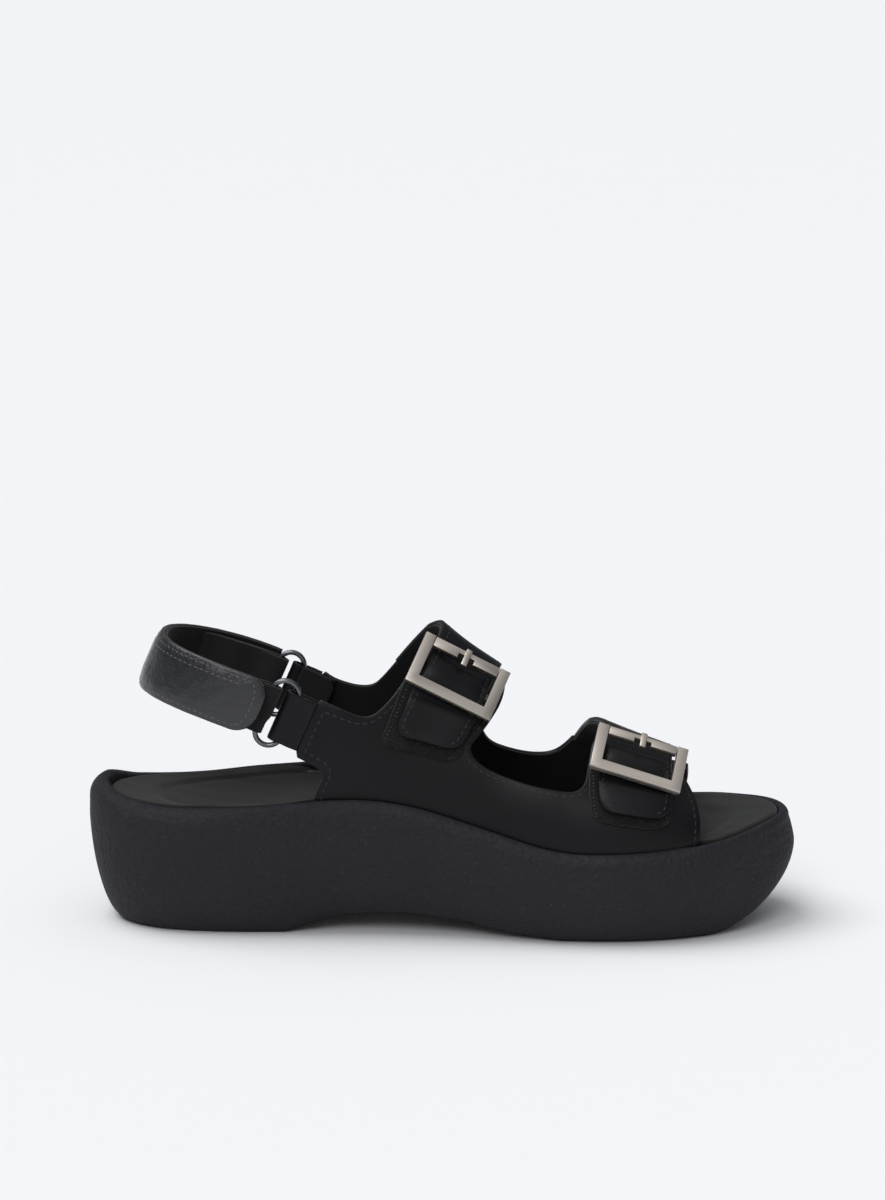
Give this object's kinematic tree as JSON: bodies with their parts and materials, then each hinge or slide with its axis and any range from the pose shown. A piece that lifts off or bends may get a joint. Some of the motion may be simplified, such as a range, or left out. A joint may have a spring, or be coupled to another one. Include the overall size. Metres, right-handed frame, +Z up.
{
  "type": "wedge sandal",
  "caption": "Slingback wedge sandal for a right foot, with a rimmed moulded sole, soft footbed, buckled straps closed by hook-and-loop, and a heel strap on wire rings.",
  "frame": {"origin": "on the ground under the middle of the sole's length and width", "axes": "+X towards the toe, +Y towards the inner side of the foot, +Z up"},
  "size_m": [0.265, 0.0952, 0.113],
  "materials": {
    "sole": "matte, fine pebbled grain",
    "leather": "smooth semi-gloss leather",
    "crinkled": "glossy crinkled leather",
    "lining": "matte microfibre lining",
    "footbed": "matte microfibre footbed",
    "pile": "hook-and-loop pile",
    "board": "cellulose fibre board",
    "foam": "soft footbed foam",
    "steel": "plain steel strip",
    "nickel": "brushed warm nickel",
    "dark_nickel": "dark polished nickel wire"
  },
  "bodies": {
    "shoe": {"wedge_sole": "sole", "shank": "steel", "insole_board": "board", "footbed_core": "foam", "footbed_cover": "footbed", "lateral_quarter": "leather", "lateral_lining": "lining", "medial_quarter": "leather", "medial_lining": "lining", "lateral_ring_loop": "leather", "medial_ring_loop": "leather", "instep_loop_patch": "pile", "forefoot_loop_patch": "pile"},
    "instep_strap": {"instep_strap": "leather", "instep_strap_lining": "lining", "instep_hook_patch": "pile", "instep_buckle_frame": "nickel", "instep_buckle_bar": "nickel"},
    "instep_prong": {"instep_buckle_prong": "nickel"},
    "forefoot_strap": {"forefoot_strap": "leather", "forefoot_strap_lining": "lining", "forefoot_hook_patch": "pile", "forefoot_buckle_frame": "nickel", "forefoot_buckle_bar": "nickel"},
    "forefoot_prong": {"forefoot_buckle_prong": "nickel"},
    "heel_strap": {"heel_strap": "crinkled", "heel_strap_lining": "lining", "heel_loop_patch": "pile", "lateral_ring": "dark_nickel", "medial_ring": "dark_nickel", "lateral_ring_tab": "leather", "medial_ring_tab": "leather"},
    "heel_flap": {"heel_flap": "crinkled", "heel_hook_patch": "pile"}
  },
  "joints": [
    {"name": "instep_strap_open", "type": "hinge", "parent": "shoe", "child": "instep_strap", "pos_m": [-0.01754, 0.02203, 0.09361], "axis": [-0.8982, -0.0144, 0.4394], "range_deg": [0, 100]},
    {"name": "forefoot_strap_open", "type": "hinge", "parent": "shoe", "child": "forefoot_strap", "pos_m": [0.05054, 0.02858, 0.06236], "axis": [-0.9633, -0.0585, 0.2621], "range_deg": [0, 100]},
    {"name": "instep_prong_turn", "type": "hinge", "parent": "instep_strap", "child": "instep_prong", "pos_m": [0.00882, -0.01824, 0.10274], "axis": [-0.892, 0.013, 0.4519], "range_deg": [0, 60]},
    {"name": "forefoot_prong_turn", "type": "hinge", "parent": "forefoot_strap", "child": "forefoot_prong", "pos_m": [0.07373, -0.02156, 0.07168], "axis": [-0.9541, 0.0283, 0.2982], "range_deg": [0, 60]},
    {"name": "heel_strap_swing", "type": "hinge", "parent": "shoe", "child": "heel_strap", "pos_m": [-0.0562, 0, 0.0812], "axis": [0, 1, 0], "range_deg": [-8, 8]},
    {"name": "heel_flap_open", "type": "hinge", "parent": "heel_strap", "child": "heel_flap", "pos_m": [-0.08956, -0.02883, 0.09396], "axis": [-0.4001, 0, -0.9165], "range_deg": [0, 90]}
  ]
}
